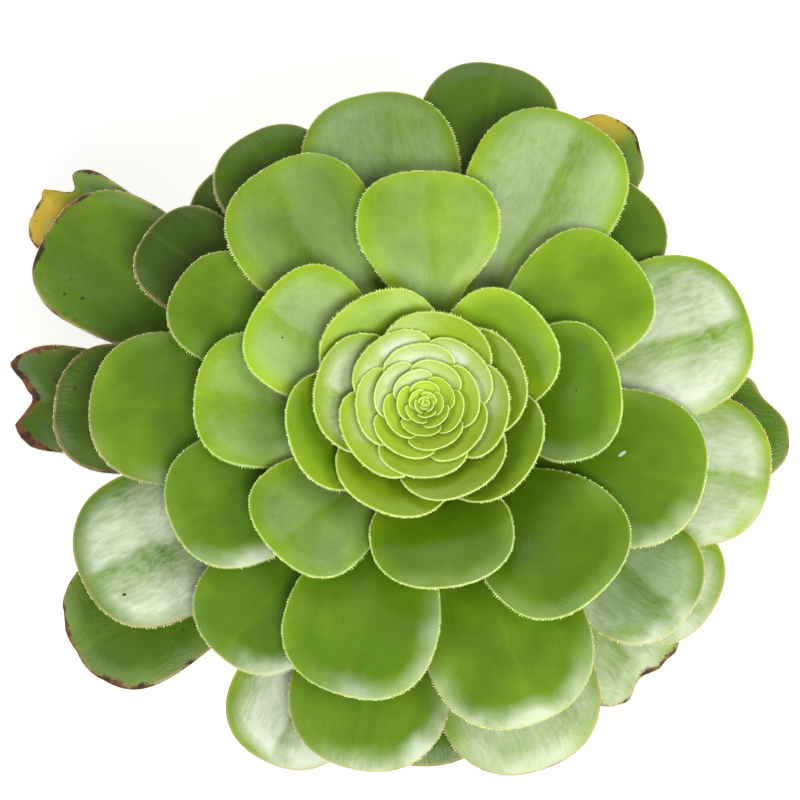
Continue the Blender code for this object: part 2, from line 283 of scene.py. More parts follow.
PAINTED_SHADE_AND_TONE = {
    -2: 0.3, 1: 0.4, 4: 0.2, 5: -0.6, 6: 0.3, 8: -0.8, 9: 0.3, 10: -0.9, 12: -0.2, 13: -0.6, 14: 0.3,
    15: -0.4, 16: -0.4, 18: -0.3, 21: -0.6, 22: -0.1, 24: -0.7, 29: 0.4, 31: 0.8, 32: -0.9, 34: 0.4,
    35: -0.6, 36: 1.0, 38: -0.5, 40: -0.6, 41: 0.8, 44: 1.0, 45: 0.2, 46: 0.3, 48: -0.5, 49: 0.1, 54: 0.7,
}
BROWN = {
    25: 0.1, 28: 0.12, 30: 0.15, 32: 0.15, 33: 0.2, 35: 0.2, 41: 0.5, 42: 0.5, 45: 0.3, 46: 0.62, 48: 0.6,
    49: 0.6, 54: 1.0, 57: 0.6,
}
SPECKS = {41: 0.7, 42: 0.3, 46: 0.8, 49: 0.9, 54: 0.6, 57: 0.5}
YELLOW = {42: 0.7, 57: 1.0}

# Single flecks: place across and along the leaf, and radius in millimetres, less than 0 for a pale one
NO_FLECK = (0.0, 9.0, 0.0)
FLECKS = {10: (-0.28, 0.80, 0.45), 11: (0.0, 0.76, 0.45), 19: (-0.16, 0.68, -1.4), 33: (-0.42, 0.92, 0.5)}


def joins(operation, swapped=False):
    """An operator on wires and numbers, which adds a Math node."""
    def add_node(wire, other):
        pair = (other, wire) if swapped else (wire, other)
        return wire.sheet.math(operation, *pair)
    return add_node


class Wire:
    """One output of a node, which takes part in sums as a number does."""

    def __init__(self, sheet, socket):
        self.sheet = sheet
        self.socket = socket

    def out(self, name):
        """Another output of the same node."""
        return Wire(self.sheet, self.socket.node.outputs[name])

    __add__ = joins("ADD")
    __radd__ = joins("ADD", swapped=True)
    __sub__ = joins("SUBTRACT")
    __rsub__ = joins("SUBTRACT", swapped=True)
    __mul__ = joins("MULTIPLY")
    __rmul__ = joins("MULTIPLY", swapped=True)
    __truediv__ = joins("DIVIDE")
    __rtruediv__ = joins("DIVIDE", swapped=True)
    __pow__ = joins("POWER")

    def __neg__(self):
        return self * -1.0

    def __abs__(self):
        return self.sheet.math("ABSOLUTE", self)


class Sheet:
    """A node tree, for a material or for a piece's geometry, and the one way that nodes are added to it."""

    def __init__(self, tree):
        self.tree = tree

    def node(self, kind, settings=None, values=None, output=0):
        """Adds a node, its settings first and then its sockets' values or wires, and gives an output."""
        node = self.tree.nodes.new(kind)
        for name, value in (settings or {}).items():
            if name == "stops":
                ramp = node.color_ramp
                while len(ramp.elements) < len(value):
                    ramp.elements.new(0.5)
                for element, (place, parts) in zip(ramp.elements, value):
                    element.position = place
                    element.color = colour(parts)
            else:
                setattr(node, name, value)
        for key, value in (values or {}).items():
            socket = node.inputs[key] if isinstance(key, int) else self.find(node, key)
            for item in value if isinstance(value, list) else [value]:
                if isinstance(item, Wire):
                    self.tree.links.new(item.socket, socket)
                else:
                    socket.default_value = item
        return Wire(self, node.outputs[output]) if node.outputs else node

    def find(self, node, key):
        """A socket by its identifier, or else by its name."""
        for socket in node.inputs:
            if socket.identifier == key:
                return socket
        return node.inputs[key]

    def math(self, operation, *numbers, clamp=False):
        """A Math node on wires and numbers."""
        settings = {"operation": operation, "use_clamp": clamp}
        return self.node("ShaderNodeMath", settings, dict(enumerate(numbers)))

    def sin(self, angle):
        """The sine of an angle."""
        return self.math("SINE", angle)

    def cos(self, angle):
        """The cosine of an angle."""
        return self.math("COSINE", angle)

    def root(self, number):
        """The square root of a number."""
        return self.math("SQRT", number)

    def most(self, first, second):
        """The larger of two numbers."""
        return self.math("MAXIMUM", first, second)

    def least(self, first, second):
        """The smaller of two numbers."""
        return self.math("MINIMUM", first, second)

    def clip(self, number):
        """A number held between 0 and 1."""
        return self.math("ADD", number, 0.0, clamp=True)

    def ease(self, number):
        """A number held between 0 and 1, with soft ends."""
        within = self.clip(number)
        return within * within * (3 - 2 * within)

    def vector_math(self, operation, *vectors):
        """A Vector Math node."""
        return self.node("ShaderNodeVectorMath", {"operation": operation}, dict(enumerate(vectors)))

    def vector(self, x, y, z):
        """A vector from three numbers."""
        return self.node("ShaderNodeCombineXYZ", None, {0: x, 1: y, 2: z})

    def split(self, vector):
        """The three numbers of a vector."""
        parts = self.node("ShaderNodeSeparateXYZ", None, {0: vector})
        return parts, parts.out("Y"), parts.out("Z")

    def mix(self, share, first, second, blend="MIX"):
        """Two colours mixed."""
        settings = {"data_type": "RGBA", "blend_type": blend}
        values = {"Factor_Float": share, "A_Color": colour(first), "B_Color": colour(second)}
        return self.node("ShaderNodeMix", settings, values, output=2)

    def shaded(self, base, shade):
        """A colour made darker or lighter by a number."""
        grey = self.node("ShaderNodeCombineColor", None, {0: shade, 1: shade, 2: shade})
        return self.mix(1.0, base, grey, "MULTIPLY")

    def noise(self, vector, scale, detail=3.0, roughness=0.5):
        """Soft noise, about 0.5 in the mean."""
        values = {"Vector": vector, "Scale": scale, "Detail": detail, "Roughness": roughness}
        return self.node("ShaderNodeTexNoise", None, values)


def colour(parts):
    """A shader colour from its red, green and blue parts. A wire stays as it is."""
    return parts if isinstance(parts, Wire) else (*parts, 1.0)


def held(number):
    """A plain number held between 0 and 1."""
    return max(0.0, min(1.0, number))


def new_geometry_sheet(name, inputs):
    """A geometry tree with named inputs. Gives the sheet and a wire for each input."""
    tree = bpy.data.node_groups.new(name, "GeometryNodeTree")
    tree.interface.new_socket("Geometry", in_out="INPUT", socket_type="NodeSocketGeometry")
    for label, kind in inputs.items():
        tree.interface.new_socket(label, in_out="INPUT", socket_type="NodeSocket" + kind)
    tree.interface.new_socket("Geometry", in_out="OUTPUT", socket_type="NodeSocketGeometry")
    sheet = Sheet(tree)
    entry = sheet.node("NodeGroupInput")
    return sheet, {label: entry.out(label) for label in ["Geometry", *inputs]}


def close_geometry_sheet(sheet, geometry, materials):
    """Ends a tree: real faces, then each material on the faces that its share says."""
    last = sheet.node("GeometryNodeRealizeInstances", None, {0: geometry})
    for material, share in materials:
        values = {"Geometry": last, "Material": material}
        if share is not None:
            values["Selection"] = share
        last = sheet.node("GeometryNodeSetMaterial", None, values)
    sheet.node("NodeGroupOutput", None, {0: last})


def read_attribute(sheet, name, kind):
    """A stored value, in a geometry tree."""
    return sheet.node("GeometryNodeInputNamedAttribute", {"data_type": kind}, {"Name": name})


def store_attribute(sheet, geometry, name, kind, value):
    """Keeps a value on a geometry's points."""
    return sheet.node("GeometryNodeStoreNamedAttribute", {"data_type": kind, "domain": "POINT"}, {
        "Geometry": geometry, "Name": name, "Value": value})


def random_number(sheet, low, high, seed):
    """A random number for each point."""
    return sheet.node("FunctionNodeRandomValue", {"data_type": "FLOAT"}, {
        "Min_001": low, "Max_001": high, "Seed": seed}, output=1)


def random_vector(sheet, low, high, seed):
    """A random vector for each point."""
    return sheet.node("FunctionNodeRandomValue", {"data_type": "FLOAT_VECTOR"}, {
        "Min": low, "Max": high, "Seed": seed})


def link_object(name, mesh):
    """A new object in the scene."""
    thing = bpy.data.objects.new(name, mesh)
    bpy.context.scene.collection.objects.link(thing)
    return thing


def settle(thing):
    """Turns an object's modifiers into a plain mesh."""
    graph = bpy.context.evaluated_depsgraph_get()
    mesh = bpy.data.meshes.new_from_object(thing.evaluated_get(graph))
    thing.modifiers.clear()
    thing.data = mesh
    return thing


def add_tree(thing, tree, settings):
    """Puts a geometry tree on an object, its inputs set by their identifiers."""
    modifier = thing.modifiers.new("make", "NODES")
    modifier.node_group = tree
    for socket in tree.interface.items_tree:
        if socket.in_out == "INPUT" and socket.name in settings:
            modifier[socket.identifier] = settings[socket.name]


def run_tree(thing, tree, settings):
    """Runs a geometry tree on an object and keeps the result as a plain mesh."""
    add_tree(thing, tree, settings)
    return settle(thing)


def turned(name, profile, sides):
    """A profile of (radius, height) points turned round the Z axis: rings of vertices with closed poles."""
    mesh = bpy.data.meshes.new(name)
    points, faces, rings = [], [], []
    for radius, height in profile:
        count = sides if radius > 0 else 1
        rings.append(range(len(points), len(points) + count))
        for side in range(count):
            turn = math.tau * side / sides
            points.append((radius * math.cos(turn), radius * math.sin(turn), height))
    for upper, lower in zip(rings, rings[1:]):
        for side in range(sides):
            after = (side + 1) % sides
            corners = [upper[side % len(upper)], lower[side % len(lower)], lower[after % len(lower)],
                       upper[after % len(upper)]]
            faces.append(list(dict.fromkeys(corners)))
    mesh.from_pydata(points, [], faces)
    mesh.shade_smooth()
    return link_object(name, mesh)


def arc_points(x, z, radius, start, end):
    """Points on a rounded corner, centred on (x, z), between two angles in degrees."""
    angles = [math.radians(start + (end - start) * step / ARC_STEPS) for step in range(ARC_STEPS + 1)]
    return [(x + radius * math.cos(angle), z + radius * math.sin(angle)) for angle in angles]


def inner_radius(height):
    """The radius of the pot's inside at a height."""
    lean = (POT_BODY_RADIUS - POT_BASE_RADIUS) / (POT_HEIGHT - POT_RIM_HEIGHT)
    return POT_BASE_RADIUS - POT_WALL + lean * height


def finish_piece(piece, slot, *nodes):
    """Rides a piece on the one body, in place of its solids. Its slot is not used."""
    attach(piece, "root")
    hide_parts(*nodes)


def seat(number):
    """Radius and height of a leaf's seat on the crown, or in the heart for numbers under 0."""
    if number < 0:
        rise = HEART_RISE * (1 - math.exp(number / HEART_RISE_SPAN))
        return HEART_SEAT_RADIUS * math.exp(number / HEART_SEAT_SPAN), TOP - CROWN_DROP + rise
    short = max(DOME_LEAVES - number, 0) / DOME_SPREAD
    return CROWN_RADIUS * math.sqrt(1 - short * short), TOP - CROWN_DROP - SEAT_STEP * number


def outline(number, width, length):
    """Where a leaf's rounded end begins, as a share of its length, and how square that end is."""
    youth = held((GROWN_SHAPE_FROM - number) / (GROWN_SHAPE_FROM - YOUNG_UNTIL))
    cap = CAP_SHARE + (YOUNG_CAP_SHARE - CAP_SHARE) * youth
    return max(SHORTEST_SHOULDER, 1 - cap * width / length), ROUNDNESS + (YOUNG_ROUNDNESS - ROUNDNESS) * youth


def midrib(number, reach):
    """The arc of a leaf's midrib, as the blade tree's inputs, and its length."""
    root_radius, root_height = seat(number)
    if number < 0:
        tip = TOP - HEART_HOLLOW * (1 - math.exp(number / INNER_SPAN))
        arch = math.radians((ARCH + INNER_ARCH) * math.exp(number / DOME_LEAVES))
        root_radius *= HEART_ROOT
    else:
        tip = TOP - TIP_DROP * number - TIP_DROOP * number * number
        arch = math.radians(ARCH + INNER_ARCH * math.exp(-number / INNER_SPAN))
        root_radius += SEAT_GAP
    rise = tip - root_height
    chord = math.hypot(reach - root_radius, rise)
    bend = chord / (2 * math.sin(arch))
    start = math.atan2(rise, reach - root_radius) + arch
    arc = {"Root radius": root_radius, "Root height": root_height, "Slope": start, "Arch": arch, "Bend": bend}
    return arc, 2 * bend * arch


NUMBER_INPUTS = (
    "Root radius", "Root height", "Slope", "Arch", "Bend", "Shoulder", "Roundness", "Swell", "Width", "Turn",
    "Thickness", "Rim", "Flesh", "Curl", "Valley", "Wave", "Phase", "Ragged", "Dent", "Roll", "Fringe pitch",
    "Fringe length")
BLADE_INPUTS = {
    **dict.fromkeys(("Columns", "Rows", "Seed"), "Int"), **dict.fromkeys(NUMBER_INPUTS, "Float"),
    **dict.fromkeys(("Bite 1", "Bite 2", "Look", "Wear", "Fleck", "Sheen"), "Vector")}


def make_blade_tree(flesh, fringe):
    """The tree that grows one leaf: two skins that meet in a round rim, and the fringe of hairs along it."""
    sheet, given = new_geometry_sheet(BLADE_TREE, BLADE_INPUTS)
    grid = sheet.node("GeometryNodeMeshGrid", None, {
        "Size X": 2.0, "Size Y": 2.0, "Vertices X": given["Columns"], "Vertices Y": given["Rows"]})
    x, y, _ = sheet.split(sheet.node("GeometryNodeInputPosition"))
    across = sheet.sin(x * (math.pi / 2))
    along = sheet.sin((y + 1) * (math.pi / 4))
    side = abs(across)
    # The outline: how far each line along the leaf reaches, less what is frayed or bitten off
    shoulder = given["Shoulder"]
    roundness = given["Roundness"]
    cap = sheet.most(1 - side ** roundness, 0.0) ** (1 / roundness)
    tip = shoulder + (1 - shoulder) * cap
    frays = sheet.noise(sheet.vector(across * 2, given["Phase"], 0.0), 2.0, 1.5, 0.5)
    lost = given["Ragged"] * sheet.most(frays - RAGGED_FROM, 0.0)
    for name in ("Bite 1", "Bite 2"):
        place, spread, depth = sheet.split(given[name])
        off = (across - place) / spread
        lost = lost + depth * sheet.math("EXPONENT", -(off * off))
    tip = tip - lost
    share = along * tip
    # The midrib's arc, and the width at each place on it
    slope = given["Slope"] - 2 * given["Arch"] * share
    sin_slope = sheet.sin(slope)
    cos_slope = sheet.cos(slope)
    radius = given["Root radius"] + given["Bend"] * (sheet.sin(given["Slope"]) - sin_slope)
    height = given["Root height"] + given["Bend"] * (cos_slope - sheet.cos(given["Slope"]))
    grow = sheet.clip(share / shoulder)
    swell = BASE_SHARE + (1 - BASE_SHARE) * sheet.ease(grow) ** given["Swell"]
    half = sheet.least(given["Width"] / 2 * swell, WRAP * radius)
    # The relief: valley, curled sides, waves and dents
    ripple = sheet.sin(along * WAVES_ALONG + given["Phase"] + across * 2)
    fold = 1 - sheet.root(across * across + FOLD_SOFTNESS)
    height = height + given["Curl"] * across * across * along * along
    height = height - given["Valley"] * fold * grow
    height = height + given["Wave"] * ripple * side * side * side * grow
    dents = sheet.vector(across * DENTS_ACROSS, along * DENTS_ALONG, given["Phase"])
    height = height + given["Dent"] * (sheet.noise(dents, 1.0, 2.0) - 0.5) * grow
    turn = given["Turn"] - across * half / radius
    # The distance from the rim, by which the skins part
    length = 2 * given["Bend"] * given["Arch"]
    beyond = sheet.clip((share + lost - shoulder) / (1 - shoulder))
    side_pull = side ** (roundness - 1) / half
    tip_pull = beyond ** (roundness - 1) / ((1 - shoulder) * length)
    pull = sheet.root(side_pull * side_pull + tip_pull * tip_pull) * roundness + LEAST_PULL
    inside = sheet.most(1 - side ** roundness - beyond ** roundness, 0.0) / pull
    on_rim = sheet.math("GREATER_THAN", sheet.most(abs(x), abs(y)), ON_RIM)
    edge = sheet.least(inside, share * length) * (1 - on_rim)
    round_off = 1 - sheet.clip(edge / (given["Rim"] / 2))
    lip = given["Rim"] / 2 * (1 - sheet.root(sheet.clip(1 - round_off * round_off)))
    body = given["Rim"] + (given["Thickness"] - given["Rim"]) * sheet.ease(edge / given["Flesh"])
    far = 1 - sheet.clip(edge / ROLL_WIDTH)
    roll = given["Roll"] * far * far * grow
    # The upper and the lower skin
    skins = []
    for under, depth in ((0.0, lip + roll), (1.0, body - lip + roll)):
        reach = radius + sin_slope * depth
        place = sheet.vector(reach * sheet.cos(turn), reach * sheet.sin(turn), height - cos_slope * depth)
        skin = store_attribute(sheet, grid, "blade", "FLOAT_VECTOR", sheet.vector(across, along, edge / MM))
        skin = store_attribute(sheet, skin, "under", "FLOAT", under)
        for name in ("Look", "Wear", "Fleck", "Sheen"):
            skin = store_attribute(sheet, skin, name.lower(), "FLOAT_VECTOR", given[name])
        if under:
            skin = sheet.node("GeometryNodeFlipFaces", None, {0: skin})
        skins.append(sheet.node("GeometryNodeSetPosition", None, {"Geometry": skin, "Position": place}))
    blade = sheet.node("GeometryNodeJoinGeometry", None, {0: skins})
    blade = sheet.node("GeometryNodeMergeByDistance", None, {"Geometry": blade, "Distance": WELD})
    blade = sheet.node("GeometryNodeSetShadeSmooth", None, {"Geometry": blade})
    # The way out of the rim, which the hairs follow
    signed_pull = side_pull * sheet.math("SIGN", across)
    tip_reach = tip_pull * cos_slope
    rim_way = sheet.vector(
        signed_pull * sheet.sin(turn) + tip_reach * sheet.cos(turn),
        tip_reach * sheet.sin(turn) - signed_pull * sheet.cos(turn), tip_pull * sin_slope)
    outward = sheet.vector_math("NORMALIZE", rim_way)
    hairs = make_fringe(sheet, store_attribute(sheet, skins[0], "outward", "FLOAT_VECTOR", outward), given)
    both = sheet.node("GeometryNodeJoinGeometry", None, {0: [given["Geometry"], blade, hairs]})
    is_hair = read_attribute(sheet, "hair", "BOOLEAN")
    close_geometry_sheet(sheet, both, [(flesh, None), (fringe, is_hair)])
    return sheet.tree


def make_fringe(sheet, skin, given):
    """Fine hairs set along the free rim of a leaf's upper skin."""
    faces = sheet.node("GeometryNodeInputMeshEdgeNeighbors")
    _, along, _ = sheet.split(read_attribute(sheet, "blade", "FLOAT_VECTOR"))
    free = sheet.math("LESS_THAN", faces, 1.5) * sheet.math("GREATER_THAN", along, FRINGE_FROM)
    rim = sheet.node("GeometryNodeMeshToCurve", None, {"Mesh": skin, "Selection": free})
    rim = sheet.node("GeometryNodeResampleCurve", {"mode": "LENGTH"}, {
        "Curve": rim, "Length": given["Fringe pitch"]})
    outward = read_attribute(sheet, "outward", "FLOAT_VECTOR")
    sway = random_vector(sheet, *HAIR_SWAY, given["Seed"])
    lean = sheet.vector_math("ADD", outward, sway)
    turn = sheet.node("FunctionNodeAlignRotationToVector", {"axis": "Z"}, {"Vector": lean})
    size = random_number(sheet, *HAIR_SIZES, given["Seed"])
    hair = sheet.node("GeometryNodeMeshCone", {"fill_type": "NGON"}, {
        "Vertices": HAIR_SIDES, "Side Segments": 1, "Radius Top": 0.0, "Radius Bottom": HAIR_FOOT,
        "Depth": HAIR_LENGTH})
    hair = sheet.node("GeometryNodeTransform", None, {"Geometry": hair, "Translation": (0, 0, -HAIR_SUNK)})
    hair = store_attribute(sheet, hair, "hair", "BOOLEAN", True)
    scale = size * given["Fringe length"]
    return sheet.node("GeometryNodeInstanceOnPoints", None, {
        "Points": rim, "Instance": hair, "Rotation": turn, "Scale": sheet.vector(scale, scale, scale)})


class Finish:
    """A material in the making: its sheet, its settings and the coordinates that its patterns follow."""

    def __init__(self, name, colour_share, **settings):
        self.material = bpy.data.materials.new(name)
        self.material.use_nodes = True
        self.material.diffuse_color = colour(colour_share)
        tree = self.material.node_tree
        tree.nodes.clear()
        self.sheet = Sheet(tree)
        self.place = self.sheet.node("ShaderNodeTexCoord").out("Object")
        self.settings = settings

    def number(self, name):
        """A stored number."""
        return self.sheet.node("ShaderNodeAttribute", {"attribute_name": name}).out("Fac")

    def numbers(self, name):
        """The three numbers of a stored vector."""
        stored = self.sheet.node("ShaderNodeAttribute", {"attribute_name": name})
        return self.sheet.split(stored.out("Vector"))

    def stretched(self, x, y, z):
        """The object's coordinates, stretched to the scales given, in features a metre."""
        return self.sheet.vector_math("MULTIPLY", self.place, (x, y, z))

    def join(self, base, roughness, relief, depth, **more):
        """Joins colour, roughness and relief to the shader."""
        sheet = self.sheet
        normal = sheet.node("ShaderNodeBump", None, {"Strength": 1.0, "Distance": depth, "Height": relief})
        values = {"Base Color": base, "Roughness": roughness, "Normal": normal, **self.settings, **more}
        shader = sheet.node("ShaderNodeBsdfPrincipled", None, values)
        sheet.node("ShaderNodeOutputMaterial", None, {"Surface": shader})
        return self.material


def make_leaf_flesh(look):
    """Waxy leaf flesh: green by age, yellower near the rim, pale rim line, bloom, wear, and painted sheen,
    highlights, shade and glow.
    """
    finish = Finish("waxy leaf", look.grown, **{
        "Subsurface Weight": 0.1, "Subsurface Radius": (0.5, 1.0, 0.1), "Subsurface Scale": 1.2 * MM,
        "Specular IOR Level": 0.32})
    sheet = finish.sheet
    across, along, edge = finish.numbers("blade")
    # The bloom number carries waxy bloom mixed with painted sheen; the dark number carries the leaf's own
    # tone mixed with painted shade and painted light
    age, bloom, painted_shade_and_tone = finish.numbers("look")
    brown, specks, yellow = finish.numbers("wear")
    fleck_across, fleck_along, fleck_size = finish.numbers("fleck")
    under = finish.number("under")
    rim_highlight, lit_along, lit_across = finish.numbers("sheen")
    cloud = sheet.noise(finish.place, CLOUDS, 2.0)
    patch = sheet.noise(finish.place, PATCHES, 2.0)
    blotch = sheet.noise(finish.place, BLOTCHES, 4.0, 0.6)
    grain = sheet.noise(finish.place, GRAINS, 2.0)
    warp = (cloud - 0.5) * 3 + (blotch - 0.5) * 0.8
    streaks = sheet.noise(sheet.vector(across * 24 + warp, along * 3, age * 40), 1.0, 3.0, 0.6)
    slanted = sheet.vector(across * 18 + along * 12 + warp, along * 28 - across * 4 + warp * 2, age * 40)
    creases = sheet.noise(slanted, 1.0, 2.5, 0.55)
    old = sheet.clip((age - 0.55) * 4)
    tender = 1 - sheet.clip(age * 3.5)
    near_rim = 1 - sheet.clip(edge / RIM_ZONE_WIDTH)
    pale = sheet.clip(-painted_shade_and_tone)
    # Green by age, yellower near the rim, and darker or paler by each leaf's own tone mixed with painted
    # shade and painted light
    base = sheet.node("ShaderNodeValToRGB", {"stops": (
        (0.0, look.heart), (0.29, look.young), (0.42, look.grown), (0.72, look.old))}, {0: age})
    rim_zone = near_rim * near_rim * (0.6 - sheet.clip(age * 3 - 0.8) * 0.35) + (cloud - 0.5) * 0.8
    rim_zone = sheet.clip(rim_zone + (streaks - 0.5) * 0.1 + pale * 0.5)
    base = sheet.mix(rim_zone * (1 - sheet.clip(painted_shade_and_tone) * 0.7), base, look.rim_zone)
    # Mottled tone, with each leaf's painted shade and painted light on top
    shade = 0.84 + (cloud - 0.5) * 0.25 + (blotch - 0.5) * 0.22 + (grain - 0.5) * 0.12
    shade = (shade + (streaks - 0.5) * 0.05) * (1 - sheet.clip(painted_shade_and_tone) * 0.5 + pale * 0.2)
    base = sheet.shaded(base, shade)
    midrib = 1 - sheet.ease(abs(across) / 0.09)
    base = sheet.mix(midrib * sheet.clip(age * 3 - 1) * 0.05, base, look.rim_zone)
    # Waxy bloom mixed with painted sheen, a painted reflection on the half of each leaf that turns toward the
    # light, and painted highlights as pale crescents on the rims that face the light
    lower_side = sheet.clip(lit_across * 2 + 0.5) * 2 - 1
    fall = across * lower_side + (cloud - 0.5) * 0.4 + (blotch - 0.5) * 0.15
    upper_half = sheet.ease((0.08 - fall) / 0.16) * (1 - sheet.ease((-fall - 0.30) / 0.65))
    lower_half = sheet.ease((fall - 0.02) / 0.65)
    halves = 0.7 + (upper_half + lower_half - 0.7) * abs(lower_side) * (1 - tender)
    wrinkled = (creases - 0.5) * 0.8 + (patch - 0.5) * 0.8
    sheen = sheet.clip(halves * 0.6 + 0.2 + wrinkled) * sheet.clip((edge - 1) / 6 + tender)
    # Painted highlights: pale crescents on the rims that turn toward the light
    middle_off = (along - 0.6) * 2.3
    off_middle = sheet.root(middle_off * middle_off + across * across + 0.05)
    toward_light = (middle_off * lit_along + across * lit_across) / off_middle
    in_reach = sheet.clip(0.95 - edge / CRESCENT_WIDTH + (patch - 0.5) * 1.8)
    painted_crescent = sheet.ease((toward_light - 0.45) / 0.55) * in_reach * (0.35 + in_reach * 0.65)
    bloom_and_painted_sheen = sheet.clip(bloom * sheen + painted_crescent * rim_highlight * sheet.clip(1 + wrinkled * 1.6) + bloom * tender * 0.25)
    base = sheet.mix(bloom_and_painted_sheen * (1 - under), base, look.bloom)
    # Yellowed tip, paler underside and the thin rim line
    faded = sheet.clip(yellow * (cloud * 1.4 + (along - 0.9) * 4 - across * 1.6 - 0.2))
    base = sheet.mix(faded, base, look.faded)
    base = sheet.mix(under * 0.45, base, look.underside)
    rim_width = 0.25 + sheet.clip(age * 2.5) * 0.3 + old * 0.6
    rim_line = 1 - sheet.ease((edge - 0.08) / rim_width)
    rim_share = rim_line * sheet.clip(0.75 - sheet.clip(age * 4 - 1.6) * 0.25 + (grain - 0.5) * 1.2)
    rim_tone = sheet.mix(sheet.clip((age - 0.5) * 5), look.rim, look.old_rim)
    base = sheet.mix(rim_share, base, rim_tone)
    # Browned rims, specks and single flecks
    worn_tip = sheet.clip((along - 0.94) * 16)
    burn = (patch - 0.48) * 14 + (blotch - 0.5) * 9 + (grain - 0.5) * 5 + brown * brown * worn_tip * 5
    scorch = sheet.clip((brown * burn - edge) * 0.8) * sheet.clip((blotch - 0.37) * 9 + brown * worn_tip)
    blush = sheet.ease((brown * 5 - edge) / 5) * sheet.clip(brown + (blotch - 0.5) * 3 + (grain - 0.5) * 3)
    base = sheet.mix(blush * (0.4 - sheet.clip(painted_shade_and_tone) * 0.35), base, look.old_rim)
    char = sheet.mix(sheet.clip((blotch - 0.5) * 7 + 0.4), look.scorch, look.dead)
    base = sheet.mix(scorch, base, char)
    dots = sheet.node("ShaderNodeTexVoronoi", None, {"Vector": finish.place, "Scale": DOTS}).out("Distance")
    spot = sheet.clip((0.20 - dots) * 12) * sheet.clip((sheet.noise(finish.place, 90.0) - 0.52) * 12) * specks
    base = sheet.mix(spot, base, look.dead)
    pale_fleck = sheet.math("LESS_THAN", fleck_size, 0.0)
    off_across = (across - fleck_across) * 16
    off_along = (along - fleck_along) * 53
    fleck_wide = (off_across + off_along) * (1 + pale_fleck * 2)
    fleck_off = sheet.root((off_across - off_along) ** 2 + fleck_wide ** 2)
    fleck = sheet.clip((abs(fleck_size) - fleck_off) * 5) * (1 - under)
    base = sheet.mix(fleck, base, sheet.mix(pale_fleck, look.dead, look.bloom))
    # Roughness for the sheen, relief, and a painted glow: emission on the young heart leaves that stands in
    # for light shining through them
    roughness = 0.37 + (blotch - 0.5) * 0.16 + (grain - 0.5) * 0.12 + under * 0.2 + scorch * 0.25 + bloom_and_painted_sheen * 0.06
    relief = grain * 0.2 + streaks * 0.1 + blotch * 0.6 + creases * (0.3 + old * 0.9)
    painted_glow = sheet.mix(tender * (1 - under), (0, 0, 0), base)
    through = {"Emission Color": painted_glow, "Emission Strength": HEART_PAINTED_GLOW}
    return finish.join(base, roughness, relief, depth=0.16 * MM, **through)


def make_fringe_look(look):
    """Pale hairs, a little warmer here and there."""
    finish = Finish("fringe hairs", look.hair, **{"Subsurface Weight": 0.3, "Subsurface Scale": 0.3 * MM})
    sheet = finish.sheet
    drift = sheet.noise(finish.place, 180.0, 2.0)
    base = sheet.mix(drift, look.hair, look.rim)
    return finish.join(base, 0.45 + drift * 0.1, drift, depth=0.02 * MM)


def make_bark(look):
    """Grey-brown bark, darker in the rings between its leaf scars, with fine cracks."""
    finish = Finish("bark", look.bark)
    sheet = finish.sheet
    depth = finish.number("scar")
    cracks = sheet.noise(finish.stretched(900, 900, 260), 1.0, 5.0, 0.7)
    cloud = sheet.noise(finish.place, 110.0, 3.0)
    base = sheet.mix(sheet.clip(cloud * 1.5 - 0.25), look.bark, look.bark_pale)
    base = sheet.mix(sheet.clip((0.5 - depth) * 1.3), base, look.bark_dark)
    base = sheet.mix(sheet.clip((cracks - 0.5) * 3) * 0.6, base, look.bark_dark)
    return finish.join(base, 0.8 + (cracks - 0.5) * 0.2, cracks + cloud * 0.5, depth=0.35 * MM)


def make_earth(look):
    """Dark crumbly potting mix; crumbs carry their own tint."""
    finish = Finish("potting mix", look.earth)
    sheet = finish.sheet
    tint = finish.number("tint")
    grit = sheet.noise(finish.place, 1100.0, 4.0, 0.7)
    cloud = sheet.noise(finish.place, 120.0, 3.0)
    base = sheet.node("ShaderNodeValToRGB", {"stops": (
        (0.0, look.earth), (0.55, look.fibre), (0.86, look.fibre), (0.93, look.grit))}, {0: tint})
    shade = 0.55 + cloud * 0.5 + (grit - 0.5) * 0.7
    base = sheet.shaded(base, shade)
    return finish.join(base, 0.88 + (grit - 0.5) * 0.15, grit + cloud, depth=0.8 * MM)


def make_clay(look):
    """Unglazed clay: warm mottling, pale lime bloom on the rim and low down, fine grit and turning marks."""
    finish = Finish("unglazed clay", look.clay)
    sheet = finish.sheet
    _, _, height = sheet.split(finish.place)
    cloud = sheet.noise(finish.place, 22.0, 4.0, 0.6)
    patch = sheet.noise(finish.place, 60.0, 5.0, 0.65)
    grit = sheet.noise(finish.place, 1300.0, 3.0, 0.6)
    turning = sheet.noise(finish.stretched(6, 6, 700), 1.0, 3.0, 0.6)
    base = sheet.mix(sheet.clip(cloud * 1.6 - 0.3), look.clay, look.clay_pale)
    base = sheet.mix(sheet.clip((patch - 0.55) * 2.4) * 0.5, base, look.clay_dark)
    share = height / look.height
    lime = (patch + cloud - 1.02) * 3.2 + sheet.clip(0.28 - share) * 1.5
    lime = sheet.clip(lime + sheet.clip(share - 0.9) * 2)
    base = sheet.mix(lime * 0.42, base, look.lime)
    base = sheet.mix(sheet.clip((grit - 0.62) * 5) * 0.35, base, look.clay_dark)
    base = sheet.mix(sheet.clip((turning - 0.5) * 2) * 0.12, base, look.clay_dark)
    relief = grit * 0.6 + turning * 0.8 + patch * 0.5
    return finish.join(base, 0.86 + (grit - 0.5) * 0.15, relief, depth=0.25 * MM)


